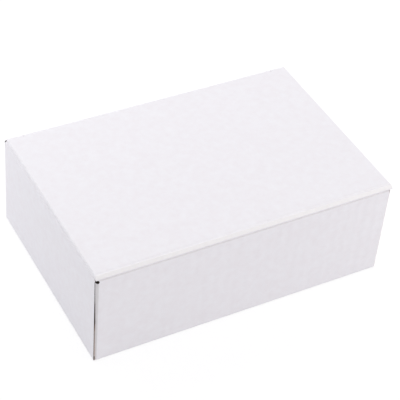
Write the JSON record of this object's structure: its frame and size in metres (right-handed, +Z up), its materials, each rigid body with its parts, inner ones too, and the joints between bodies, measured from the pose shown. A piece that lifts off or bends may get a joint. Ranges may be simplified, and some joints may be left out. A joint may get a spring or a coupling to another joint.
{
  "type": "mailing box",
  "caption": "White corrugated mailing box folded from one sheet, with rolled double side walls, end flaps locked inside them, and a hinged lid whose tuck flap goes behind the front wall.",
  "frame": {"origin": "middle of the closed box's footprint, on the underside of its base", "axes": "+X along the hinge, which is the box's length; +Y from the hinge wall at the back to the front wall; +Z up, from the base to the lid"},
  "size_m": [0.19, 0.131, 0.0665],
  "materials": {
    "white_board": "matte bleached white liner outside, brown kraft inside"
  },
  "bodies": {
    "tray": {"tray": "white_board"},
    "lid": {"lid": "white_board"}
  },
  "joints": [
    {"name": "lid_hinge", "type": "hinge", "parent": "tray", "child": "lid", "pos_m": [0, -0.0655, 0.0635], "axis": [1, 0, 0], "range_deg": [0, 180]}
  ]
}
